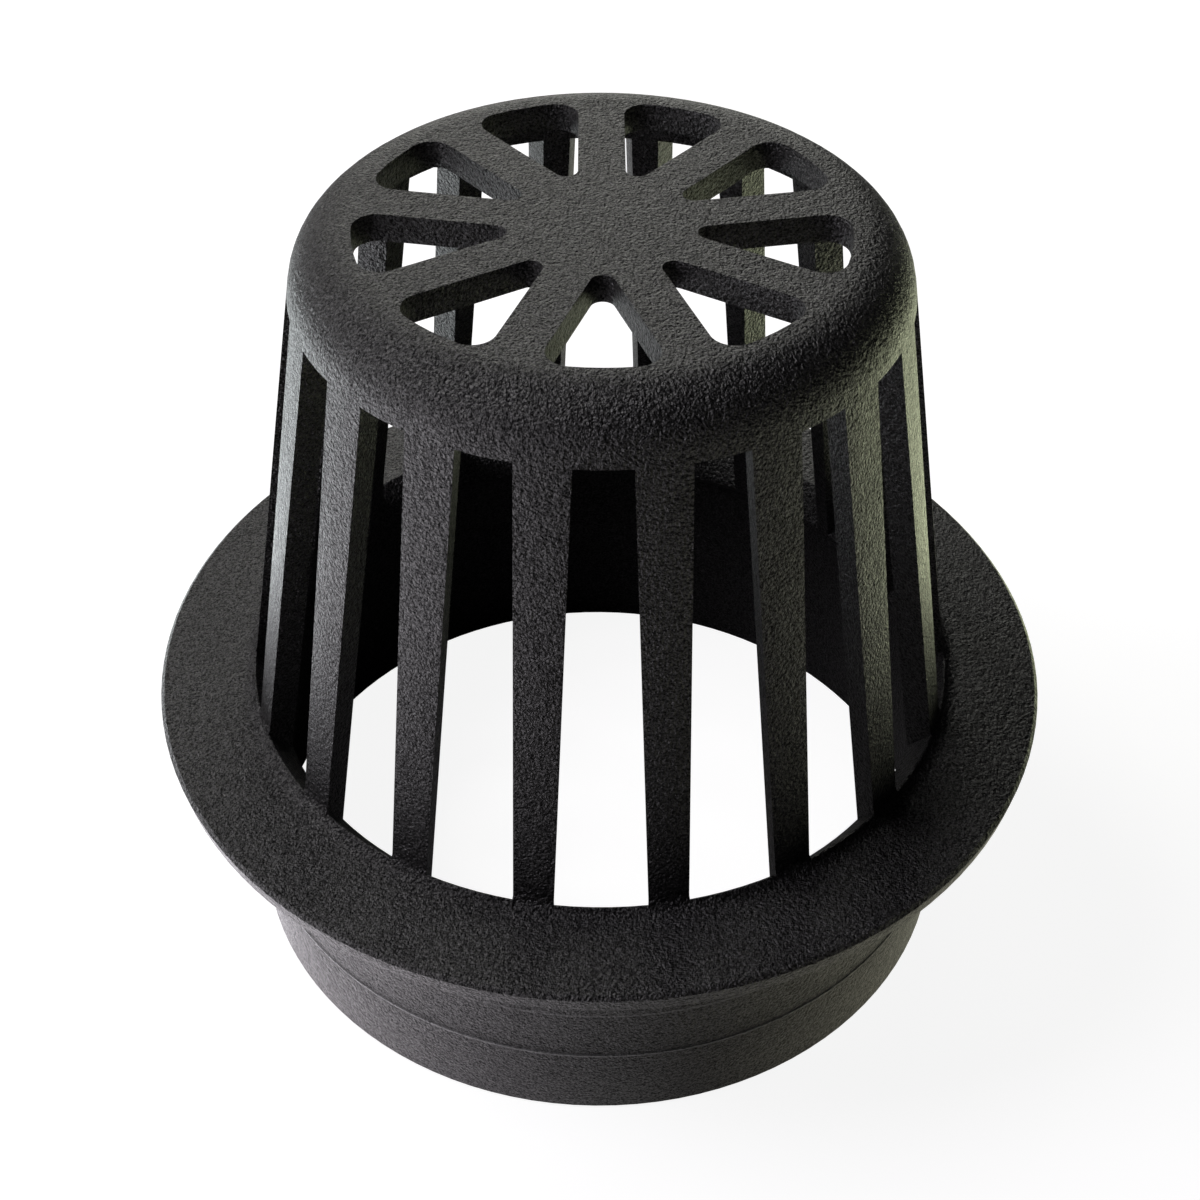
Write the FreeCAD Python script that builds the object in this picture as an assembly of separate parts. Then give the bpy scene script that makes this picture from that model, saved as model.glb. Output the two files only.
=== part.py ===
import FreeCAD, Part
import math
import os

# Atrium grate: a one-piece moulded drain grate that drops into the open end of a drain pipe.
# A short spigot goes into the pipe, a flat flange rests on the pipe's end, and a tapered cage
# with a slotted dome stands above it, so leaves pile up round it and water still gets in.
# Lengths are in millimetres. The origin is on the axis at the foot of the spigot, +Z is up,
# and azimuth 0 is the side that faces -Y.

# Spigot
spigot_radius = 50.1
spigot_depth = 34.8
spigot_wall_at_foot = 2.0
spigot_wall_at_flange = 2.4
spigot_foot_bevel = 0.4
stop_line_height = 11.7
stop_line_step = 0.12

# Flange
flange_radius = 60.5
flange_thickness = 3.2
flange_rim_draft = 0.4
flange_edge_bevel = 0.5

# Cage: a cone that leans inwards, from the flange's top face to the top of the dome, whose
# foot stands a little inside the spigot's outer surface
cage_foot_inset = 2.4
cage_rise = 67.5
cage_lean_degrees = 9.8
cage_wall = 3.8
cage_foot_fillet = 2.2
cage_skirt_depth = 3.6

# Dome
dome_shoulder_radius = 7.2
dome_thickness = 3.6
dome_inner_bevel = 2.2

# Side slots, between bars that widen a little towards the dome and are narrower on the inside
slot_count = 18
bar_width_at_foot = 5.1
bar_width_at_dome = 6.5
bar_side_inset = 1.45
slot_sill_height = 0.9
slot_top_below_dome = 7.4

# Openings in the dome, between spokes of even width, inside an unbroken rim
opening_count = 9
spoke_width = 5.8
opening_rim_width = 6.84
opening_outer_rounding = 2.8
opening_apex_rounding = 1.45

# How far each cutting shape reaches past the surface that it cuts
cut_margin = 3.0

flange_top = spigot_depth + flange_thickness
dome_top = flange_top + cage_rise
lean_slope = math.tan(math.radians(cage_lean_degrees))
cage_foot_radius = spigot_radius - cage_foot_inset
opening_outer_radius = cage_foot_radius - lean_slope * cage_rise - opening_rim_width
cage_wall_across = cage_wall / math.cos(math.radians(cage_lean_degrees))
slot_pitch = 2.0 * math.pi / slot_count
opening_pitch = 2.0 * math.pi / opening_count


def cage_radius(height):
    """Radius of the cage's outer surface at a height above the spigot's foot."""
    return cage_foot_radius - lean_slope * (height - flange_top)


def cage_inner_radius(height):
    return cage_radius(height) - cage_wall_across


def in_section(radius, height):
    return FreeCAD.Vector(radius, 0.0, height)


def around(radius, azimuth, height=0.0):
    """Point at a distance from the axis, at an azimuth counted from the side that faces -Y."""
    return FreeCAD.Vector(radius * math.sin(azimuth), -radius * math.cos(azimuth), height)


def beside_spoke(azimuth, along, across, height=0.0):
    """Point beside a radial line: along it from the axis, and across it towards larger azimuths."""
    outward = around(1.0, azimuth)
    sideways = FreeCAD.Vector(math.cos(azimuth), math.sin(azimuth), 0.0)
    return outward * along + sideways * across + FreeCAD.Vector(0.0, 0.0, height)


def corner_arc(before, corner, after, radius):
    """Start, middle and end of the arc that rounds a corner of a straight-sided outline."""
    to_before = (before - corner).normalize()
    to_after = (after - corner).normalize()
    half_angle = to_before.getAngle(to_after) / 2.0
    run = radius / math.tan(half_angle)
    bisector = (to_before + to_after).normalize()
    centre = corner + bisector * (radius / math.sin(half_angle))
    middle = centre - bisector * radius
    return corner + to_before * run, middle, corner + to_after * run


def rounded_outline(corners):
    """Closed wire through (point, rounding radius) pairs, straight between the rounded corners."""
    points = [point for point, _ in corners]
    edges = []
    pieces = []
    for index, (point, radius) in enumerate(corners):
        if radius > 0.0:
            after = points[(index + 1) % len(points)]
            start, middle, end = corner_arc(points[index - 1], point, after, radius)
            pieces.append((start, end, Part.Arc(start, middle, end).toShape()))
        else:
            pieces.append((point, point, None))
    for index, (start, _, arc) in enumerate(pieces):
        edges.append(Part.makeLine(pieces[index - 1][1], start))
        if arc is not None:
            edges.append(arc)
    return Part.Wire(edges)


def revolved(outline):
    axis = FreeCAD.Vector(0.0, 0.0, 1.0)
    return Part.Face(outline).revolve(FreeCAD.Vector(0.0, 0.0, 0.0), axis, 360.0)


def spigot_section():
    """Corners of the spigot's and flange's outside, from the foot up to the cage."""
    rim_foot_radius = flange_radius - flange_rim_draft
    return [
        (in_section(spigot_radius - spigot_foot_bevel, 0.0), 0.0),
        (in_section(spigot_radius, spigot_foot_bevel), 0.0),
        (in_section(spigot_radius, stop_line_height), 0.0),
        (in_section(spigot_radius - stop_line_step, stop_line_height), 0.0),
        (in_section(spigot_radius - stop_line_step, spigot_depth), 0.0),
        (in_section(rim_foot_radius - flange_edge_bevel, spigot_depth), 0.0),
        (in_section(rim_foot_radius, spigot_depth + flange_edge_bevel), 0.0),
        (in_section(flange_radius, flange_top - flange_edge_bevel), 0.0),
        (in_section(flange_radius - flange_edge_bevel, flange_top), 0.0),
    ]


def cage_section():
    """Corners of the cage's and dome's outside, ending on the axis."""
    return [
        (in_section(cage_radius(flange_top), flange_top), cage_foot_fillet),
        (in_section(cage_radius(dome_top), dome_top), dome_shoulder_radius),
        (in_section(0.0, dome_top), 0.0),
    ]


def inner_section():
    """Corners of the inside, from the axis under the dome down to the spigot's foot."""
    ceiling = dome_top - dome_thickness
    bevel_foot = ceiling - dome_inner_bevel
    skirt_foot = flange_top - cage_skirt_depth
    skirt_radius = cage_inner_radius(skirt_foot)
    spigot_inner_radius = spigot_radius - spigot_wall_at_flange
    slope_foot = skirt_foot - (spigot_inner_radius - skirt_radius)
    return [
        (in_section(0.0, ceiling), 0.0),
        (in_section(cage_inner_radius(ceiling) - dome_inner_bevel, ceiling), 0.0),
        (in_section(cage_inner_radius(bevel_foot), bevel_foot), 0.0),
        (in_section(skirt_radius, skirt_foot), 0.0),
        (in_section(spigot_inner_radius, slope_foot), 0.0),
        (in_section(spigot_radius - spigot_wall_at_foot, 0.0), 0.0),
    ]


def moulded_shell():
    """The whole grate as a body of revolution, before its slots and openings."""
    return revolved(rounded_outline(spigot_section() + cage_section() + inner_section()))


def slot_zone():
    """Ring of space that holds all the slots, with sills that fall steeply to the inside."""
    sill = flange_top + slot_sill_height
    skirt_foot = flange_top - cage_skirt_depth
    slot_top = dome_top - slot_top_below_dome
    sill_fall = (sill - skirt_foot) / (cage_radius(sill) - cage_inner_radius(skirt_foot))
    inside_sill = cage_inner_radius(skirt_foot) - cut_margin
    outside = flange_radius + cut_margin
    corners = [
        in_section(outside, sill),
        in_section(cage_radius(sill), sill),
        in_section(inside_sill, skirt_foot - cut_margin * sill_fall),
        in_section(cage_inner_radius(slot_top) - cut_margin, slot_top),
        in_section(outside, slot_top),
    ]
    return revolved(Part.makePolygon(corners + corners[:1]))


def closed_block(bottom, top):
    """Solid between two four-cornered outlines whose corners match."""
    faces = [Part.Face(Part.makePolygon(ring + ring[:1])) for ring in (bottom, top)]
    for index in range(len(bottom)):
        following = (index + 1) % len(bottom)
        side = [bottom[index], bottom[following], top[following], top[index], bottom[index]]
        faces.append(Part.Face(Part.makePolygon(side)))
    return Part.Solid(Part.Shell(faces))


def bar_half_width(along, height):
    """Half of a bar's width at a distance from the axis, where its flat sides lean together inwards."""
    taper = (bar_width_at_dome - bar_width_at_foot) / (cage_rise - slot_top_below_dome)
    outer_width = bar_width_at_foot + taper * (height - flange_top)
    depth = (cage_radius(height) - along) / cage_wall_across
    return outer_width / 2.0 - bar_side_inset * depth


def gap_between_bars():
    """Space between the two bars beside azimuth 0."""
    low = flange_top - cage_skirt_depth - cut_margin
    high = dome_top - slot_top_below_dome + cut_margin
    rings = []
    for height in (low, high):
        inside = cage_inner_radius(height) - cut_margin
        outside = cage_radius(height) + cut_margin
        corners = ((-1.0, inside), (-1.0, outside), (1.0, outside), (1.0, inside))
        rings.append([
            beside_spoke(side * slot_pitch / 2.0, along, -side * bar_half_width(along, height), height)
            for side, along in corners
        ])
    return closed_block(*rings)


def dome_opening():
    """Rounded triangle over azimuth 0, cut through the dome between two spokes."""
    half_pitch = opening_pitch / 2.0
    half_width = spoke_width / 2.0
    corner_across = half_width + opening_outer_rounding
    corner_reach = opening_outer_radius - opening_outer_rounding
    corner_along = math.sqrt(corner_reach ** 2 - corner_across ** 2)
    corner_azimuth = half_pitch - math.atan2(corner_across, corner_along)
    apex_centre = (half_width + opening_apex_rounding) / math.sin(half_pitch)
    apex_along = apex_centre * math.cos(half_pitch)
    base = dome_top - dome_thickness - cut_margin

    def corner(side):
        """The outer corner's arc, from the spoke to the outer edge."""
        centre = around(corner_reach, side * corner_azimuth)
        on_spoke = beside_spoke(side * half_pitch, corner_along, -side * half_width)
        on_rim = around(opening_outer_radius, side * corner_azimuth)
        towards = ((on_spoke - centre) + (on_rim - centre)).normalize()
        return on_spoke, centre + towards * opening_outer_rounding, on_rim

    left_spoke, left_middle, left_rim = corner(-1.0)
    right_spoke, right_middle, right_rim = corner(1.0)
    left_apex = beside_spoke(-half_pitch, apex_along, half_width)
    right_apex = beside_spoke(half_pitch, apex_along, -half_width)
    outline = Part.Wire([
        Part.makeLine(left_apex, left_spoke),
        Part.Arc(left_spoke, left_middle, left_rim).toShape(),
        Part.Arc(left_rim, around(opening_outer_radius, 0.0), right_rim).toShape(),
        Part.Arc(right_rim, right_middle, right_spoke).toShape(),
        Part.makeLine(right_spoke, right_apex),
        Part.Arc(right_apex, around(apex_centre - opening_apex_rounding, 0.0), left_apex).toShape(),
    ])
    outline.translate(FreeCAD.Vector(0.0, 0.0, base))
    return Part.Face(outline).extrude(FreeCAD.Vector(0.0, 0.0, dome_top + cut_margin - base))


def pattern_round_axis(shape, count):
    copies = []
    for index in range(count):
        copy = shape.copy()
        copy.rotate(FreeCAD.Vector(0.0, 0.0, 0.0), FreeCAD.Vector(0.0, 0.0, 1.0), 360.0 * index / count)
        copies.append(copy)
    return copies


def atrium_grate():
    slot = gap_between_bars().common(slot_zone())
    slots = pattern_round_axis(slot, slot_count)
    openings = pattern_round_axis(dome_opening(), opening_count)
    grate = moulded_shell().cut(slots + openings)
    return grate.Solids[0]


os.makedirs("parts", exist_ok=True)
atrium_grate().exportStep("parts/atrium_grate.step")
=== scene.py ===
import math
import bpy
from mathutils import Euler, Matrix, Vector

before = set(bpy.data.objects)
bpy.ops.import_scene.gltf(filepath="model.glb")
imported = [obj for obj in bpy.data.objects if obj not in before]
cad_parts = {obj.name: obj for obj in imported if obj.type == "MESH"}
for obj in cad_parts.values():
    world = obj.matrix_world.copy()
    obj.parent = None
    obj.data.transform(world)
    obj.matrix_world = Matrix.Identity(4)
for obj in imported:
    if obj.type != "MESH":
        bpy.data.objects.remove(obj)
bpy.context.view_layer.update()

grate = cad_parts["atrium_grate"]

MM = 0.001
OPAQUE_WHITE = (1.0, 1.0, 1.0, 1.0)

# The camera as it stood for the photo: distance, height and turn about the grate's axis
AIM_HEIGHT = 46.2 * MM
CAMERA_DISTANCE = 266.2 * MM
CAMERA_ELEVATION = math.radians(42.04)
CAMERA_AZIMUTH = math.radians(-0.45)
CAMERA_ROLL = math.radians(0.35)
FOCAL_PIXELS = 1943.7
FRAME_PIXELS = 1200.0
SENSOR_WIDTH = 36.0
CLIP_START = 5.0 * MM

# Square softboxes that face the grate: name, azimuth and elevation in degrees, side in metres,
# watts and tint. Azimuths are counted from the camera's side towards the right.
LAMPS = (
    ("back_left", -130.0, 42.0, 0.45, 3.2, (1.0, 0.99, 0.96)),
    ("back", 180.0, 10.0, 0.45, 1.3, (1.0, 1.0, 0.92)),
    ("above_left", -82.0, 46.0, 0.4, 4.2, (0.97, 0.92, 1.0)),
)
LAMP_DISTANCE = 0.9
WORLD_LIGHT = 0.01

# How bright the floor shows in the plastic, by azimuth, with its tint: cool daylight on the left,
# weaker warm light on the right
FLOOR_SHINE = (
    (-180.0, 0.2, (1.0, 1.0, 1.0)),
    (-150.0, 0.4, (1.0, 1.0, 1.0)),
    (-125.0, 3.7, (0.92, 1.0, 1.0)),
    (-90.0, 3.1, (0.97, 0.94, 1.0)),
    (-45.0, 1.95, (1.0, 0.94, 1.0)),
    (-18.0, 0.90, (1.0, 0.94, 1.0)),
    (0.0, 0.50, (1.0, 0.97, 0.97)),
    (16.0, 0.25, (1.0, 0.96, 0.90)),
    (50.0, 0.6, (1.0, 0.97, 0.75)),
    (90.0, 0.85, (1.0, 1.0, 0.78)),
    (125.0, 3.2, (0.92, 1.0, 0.62)),
    (150.0, 0.4, (1.0, 1.0, 0.9)),
    (180.0, 0.2, (1.0, 1.0, 1.0)),
)
SHINE_FULL = 4.0

# Where that shine begins at the grate's shadow, and where it fades out
SHADE_INNER = 49.0 * MM
SHADE_OUTER = 50.5 * MM
SHINE_REACH = 260.0 * MM
SHINE_END = 420.0 * MM

# The duller floor at the front right: from where to where it sets in, and how dull it gets
DIM_LEFT = -60.0 * MM
DIM_RIGHT = 15.0 * MM
DIM_NEAR = 90.0 * MM
DIM_FAR = 135.0 * MM
DIM_SHARE = 0.9

# The floor itself, and how white the camera sees it near the grate and from WHITE_FADE_END on
FLOOR_HALF_SIDE = 3.0
FLOOR_DROP = 0.1 * MM
FLOOR_COLOUR = (0.28, 0.28, 0.28, 1.0)
CAMERA_WHITE = 0.90
WHITE_FADE_START = 0.35
WHITE_FADE_END = 0.8

# The moulded surface: fine glints, its sandy relief, wider patches and faint clouding
GRAIN_SIZE = 0.28 * MM
RELIEF_SIZE = 0.42 * MM
RELIEF_DEPTH = 0.52 * MM
PATCH_SIZE = 0.9 * MM
PATCH_SHARE = 0.5
CLOUD_SIZE = 18.0 * MM
PIT_COLOUR = (0.006, 0.006, 0.006, 1.0)
PEAK_COLOUR = (0.022, 0.021, 0.021, 1.0)
GLOSS_RANGE = (0.16, 0.95)
ROUGHNESS_RANGE = (0.34, 0.46)
PLASTIC_IOR = 1.5

# Two faint painted highlights round the spigot: pale rings, the lower one along its small step,
# where light catches. Height above its foot, and how bright each is painted
PAINTED_HIGHLIGHT_RINGS = ((11.6 * MM, 1.0), (20.0 * MM, 0.6))
HIGHLIGHT_RING_HALF_WIDTH = 0.28 * MM
HIGHLIGHT_RING_INNER = 49.0 * MM
HIGHLIGHT_RING_OUTER = 49.4 * MM
HIGHLIGHT_RING_COLOUR = (0.45, 0.45, 0.45, 1.0)

# The rounding along the moulded edges
WELD_DISTANCE = 0.001 * MM
EDGE_RADIUS = 0.35 * MM
EDGE_SEGMENTS = 3
EDGE_ANGLE = math.radians(28.0)


class Nodes:
    """Short calls for building the node tree of a material or of the world."""

    def __init__(self, owner, output):
        owner.use_nodes = True
        self.tree = owner.node_tree
        self.tree.nodes.clear()
        self.output = self.add(output)

    def add(self, kind, inputs=None, **settings):
        node = self.tree.nodes.new("ShaderNode" + kind)
        for key, value in settings.items():
            setattr(node, key, value)
        for key, value in (inputs or {}).items():
            self.put(node.inputs[key], value)
        return node

    def put(self, socket, value):
        if isinstance(value, bpy.types.NodeSocket):
            self.tree.links.new(value, socket)
        else:
            socket.default_value = value

    def finish(self, shader):
        self.put(self.output.inputs["Surface"], shader.outputs[0])

    def noise(self, vector, size, detail, roughness):
        return self.add("TexNoise", {"Vector": vector, "Scale": 1.0 / size, "Detail": detail,
                                     "Roughness": roughness}).outputs["Fac"]

    def remap(self, value, low, high, to_low, to_high):
        return self.add("MapRange", {"Value": value, "From Min": low, "From Max": high,
                                     "To Min": to_low, "To Max": to_high}).outputs["Result"]

    def math(self, operation, a, b=0.0):
        return self.add("Math", {0: a, 1: b}, operation=operation).outputs[0]

    def length(self, vector):
        return self.add("VectorMath", {0: vector}, operation="LENGTH").outputs["Value"]

    def mix(self, factor, a, b):
        return self.add("Mix", {0: factor, 6: a, 7: b}, data_type="RGBA").outputs[2]


def add_to_scene(name, data):
    obj = bpy.data.objects.new(name, data)
    bpy.context.scene.collection.objects.link(obj)
    return obj


def add_camera():
    data = bpy.data.cameras.new("camera")
    data.sensor_width = SENSOR_WIDTH
    data.lens = SENSOR_WIDTH * FOCAL_PIXELS / FRAME_PIXELS
    data.clip_start = CLIP_START
    camera = add_to_scene("camera", data)
    reach = CAMERA_DISTANCE * math.cos(CAMERA_ELEVATION)
    rise = CAMERA_DISTANCE * math.sin(CAMERA_ELEVATION)
    target = Vector((0.0, 0.0, AIM_HEIGHT))
    offset = Vector((reach * math.sin(CAMERA_AZIMUTH), -reach * math.cos(CAMERA_AZIMUTH), rise))
    camera.location = target + offset
    turn = Euler((math.pi / 2.0 - CAMERA_ELEVATION, 0.0, CAMERA_AZIMUTH)).to_matrix()
    roll = Euler((0.0, 0.0, CAMERA_ROLL)).to_matrix()
    camera.rotation_euler = (turn @ roll).to_euler()
    bpy.context.scene.camera = camera


def painted_highlight_mask(nodes, place):
    """How strongly a point belongs to the painted highlight rings on the spigot's outside."""
    axes = nodes.add("SeparateXYZ", {"Vector": place}).outputs
    level = nodes.add("CombineXYZ", {"X": axes["X"], "Y": axes["Y"]}).outputs["Vector"]
    outside = nodes.remap(nodes.length(level), HIGHLIGHT_RING_INNER, HIGHLIGHT_RING_OUTER, 0.0, 1.0)
    mask = 0.0
    for height, highlight_level in PAINTED_HIGHLIGHT_RINGS:
        away = nodes.math("ABSOLUTE", nodes.math("SUBTRACT", axes["Z"], height))
        mask = nodes.math("ADD", mask, nodes.remap(away, 0.0, HIGHLIGHT_RING_HALF_WIDTH, highlight_level, 0.0))
    return nodes.math("MULTIPLY", mask, outside)


def black_plastic():
    """Matt black polyethylene with the sandy relief of a spark-eroded mould, and two painted
    highlight rings round the spigot.
    """
    material = bpy.data.materials.new("black_plastic")
    nodes = Nodes(material, "OutputMaterial")
    place = nodes.add("TexCoord").outputs["Object"]
    grain = nodes.noise(place, GRAIN_SIZE, 2.0, 0.6)
    relief = nodes.noise(place, RELIEF_SIZE, 2.0, 0.6)
    patches = nodes.noise(place, PATCH_SIZE, 2.0, 0.5)
    cloud = nodes.noise(place, CLOUD_SIZE, 3.0, 0.55)
    # Painted highlights: pale rings round the spigot
    painted_highlights = painted_highlight_mask(nodes, place)
    peaks = nodes.remap(grain, 0.38, 0.62, 0.0, 1.0)
    tone = nodes.math("MULTIPLY", peaks, nodes.remap(cloud, 0.3, 0.7, 0.7, 1.0))
    # Where the rings lie, a pale colour and full specular level paint the highlights
    colour = nodes.mix(painted_highlights, nodes.mix(tone, PIT_COLOUR, PEAK_COLOUR), HIGHLIGHT_RING_COLOUR)
    gloss = nodes.math("MAXIMUM", nodes.remap(peaks, 0.0, 1.0, *GLOSS_RANGE), painted_highlights)
    height = nodes.math("ADD", relief, nodes.math("MULTIPLY", patches, PATCH_SHARE))
    bump = nodes.add("Bump", {"Strength": 1.0, "Distance": RELIEF_DEPTH, "Height": height})
    nodes.finish(nodes.add("BsdfPrincipled", {
        "Base Color": colour,
        "Roughness": nodes.remap(patches, 0.35, 0.65, *ROUGHNESS_RANGE),
        "IOR": PLASTIC_IOR,
        "Specular IOR Level": gloss,
        "Normal": bump.outputs["Normal"],
    }))
    return material


def round_the_edges(obj):
    """Small even rounding along the moulded edges, kept inside the solid."""
    weld = obj.modifiers.new("weld", "WELD")
    weld.merge_threshold = WELD_DISTANCE
    bevel = obj.modifiers.new("rounding", "BEVEL")
    bevel.width = EDGE_RADIUS
    bevel.segments = EDGE_SEGMENTS
    bevel.limit_method = "ANGLE"
    bevel.angle_limit = EDGE_ANGLE
    bevel.use_clamp_overlap = True
    bevel.harden_normals = True


def shine_colour(nodes, to_right, to_camera):
    """The floor's tint by azimuth, darkened to its share of the full strength."""
    turn = nodes.math("DIVIDE", nodes.math("ARCTAN2", to_right, to_camera), 2.0 * math.pi)
    ramp = nodes.add("ValToRGB", {"Fac": nodes.math("ADD", turn, 0.5)})
    stops = ramp.color_ramp.elements
    for index, (azimuth, strength, tint) in enumerate(FLOOR_SHINE):
        position = azimuth / 360.0 + 0.5
        stop = stops[index] if index < 2 else stops.new(position)
        stop.position = position
        stop.color = [strength / SHINE_FULL * part for part in tint] + [1.0]
    return ramp.outputs["Color"]


def shine_strength(nodes, to_right, to_camera, reach):
    """Full strength near the grate, less at the front right, none under the grate and far off."""
    clear = nodes.remap(reach, SHADE_INNER, SHADE_OUTER, 0.0, SHINE_FULL)
    clear = nodes.math("MULTIPLY", clear, nodes.remap(reach, SHINE_REACH, SHINE_END, 1.0, 0.0))
    right = nodes.remap(to_right, DIM_LEFT, DIM_RIGHT, 0.0, 1.0)
    front = nodes.remap(to_camera, DIM_NEAR, DIM_FAR, 0.0, DIM_SHARE)
    dim = nodes.math("MULTIPLY", right, front)
    return nodes.math("MULTIPLY", clear, nodes.math("SUBTRACT", 1.0, dim))


def floor_material():
    """White to the camera. The plastic mirrors it by azimuth, and not where the grate shades it."""
    material = bpy.data.materials.new("floor")
    nodes = Nodes(material, "OutputMaterial")
    path = nodes.add("LightPath").outputs
    place = nodes.add("TexCoord").outputs["Object"]
    axes = nodes.add("SeparateXYZ", {"Vector": place}).outputs
    to_right = axes["X"]
    to_camera = nodes.math("MULTIPLY", axes["Y"], -1.0)
    reach = nodes.length(place)
    strength = shine_strength(nodes, to_right, to_camera, reach)
    whiteness = nodes.remap(reach, WHITE_FADE_START, WHITE_FADE_END, CAMERA_WHITE, 1.0)
    shine = nodes.add("Emission", {
        "Color": shine_colour(nodes, to_right, to_camera),
        "Strength": nodes.math("MULTIPLY", strength, path["Is Glossy Ray"]),
    })
    white = nodes.add("Emission", {
        "Color": OPAQUE_WHITE,
        "Strength": nodes.math("MULTIPLY", path["Is Camera Ray"], whiteness),
    })
    plain = nodes.add("BsdfDiffuse", {"Color": FLOOR_COLOUR})
    glow = nodes.add("AddShader", {0: shine.outputs[0], 1: white.outputs[0]})
    nodes.finish(nodes.add("AddShader", {0: glow.outputs[0], 1: plain.outputs[0]}))
    return material


def add_floor():
    side = FLOOR_HALF_SIDE
    corners = [(-side, -side, 0.0), (side, -side, 0.0), (side, side, 0.0), (-side, side, 0.0)]
    mesh = bpy.data.meshes.new("floor")
    mesh.from_pydata(corners, [], [(0, 1, 2, 3)])
    mesh.materials.append(floor_material())
    floor = add_to_scene("floor", mesh)
    floor.location.z = -FLOOR_DROP


def add_world():
    """Dim surroundings, pure white where the camera looks at them."""
    world = bpy.data.worlds.new("world")
    nodes = Nodes(world, "OutputWorld")
    path = nodes.add("LightPath").outputs
    light = nodes.add("Background", {"Color": OPAQUE_WHITE, "Strength": WORLD_LIGHT})
    seen = nodes.add("Background", {"Color": OPAQUE_WHITE, "Strength": 1.0})
    nodes.finish(nodes.add("MixShader", {
        0: path["Is Camera Ray"],
        1: light.outputs[0],
        2: seen.outputs[0],
    }))
    bpy.context.scene.world = world


def add_softbox(name, azimuth, elevation, side, watts, tint):
    data = bpy.data.lights.new(name, "AREA")
    data.shape = "SQUARE"
    data.size = side
    data.energy = watts
    data.color = tint
    lamp = add_to_scene(name, data)
    turn, lift = math.radians(azimuth), math.radians(elevation)
    level = LAMP_DISTANCE * math.cos(lift)
    rise = LAMP_DISTANCE * math.sin(lift)
    lamp.location = (level * math.sin(turn), -level * math.cos(turn), rise + AIM_HEIGHT)
    aim = Vector((0.0, 0.0, AIM_HEIGHT)) - lamp.location
    lamp.rotation_euler = aim.to_track_quat("-Z", "Y").to_euler()


grate.data.materials.clear()
grate.data.materials.append(black_plastic())
round_the_edges(grate)

add_floor()
add_world()
for lamp_settings in LAMPS:
    add_softbox(*lamp_settings)
add_camera()

bpy.context.scene.view_settings.view_transform = "Standard"
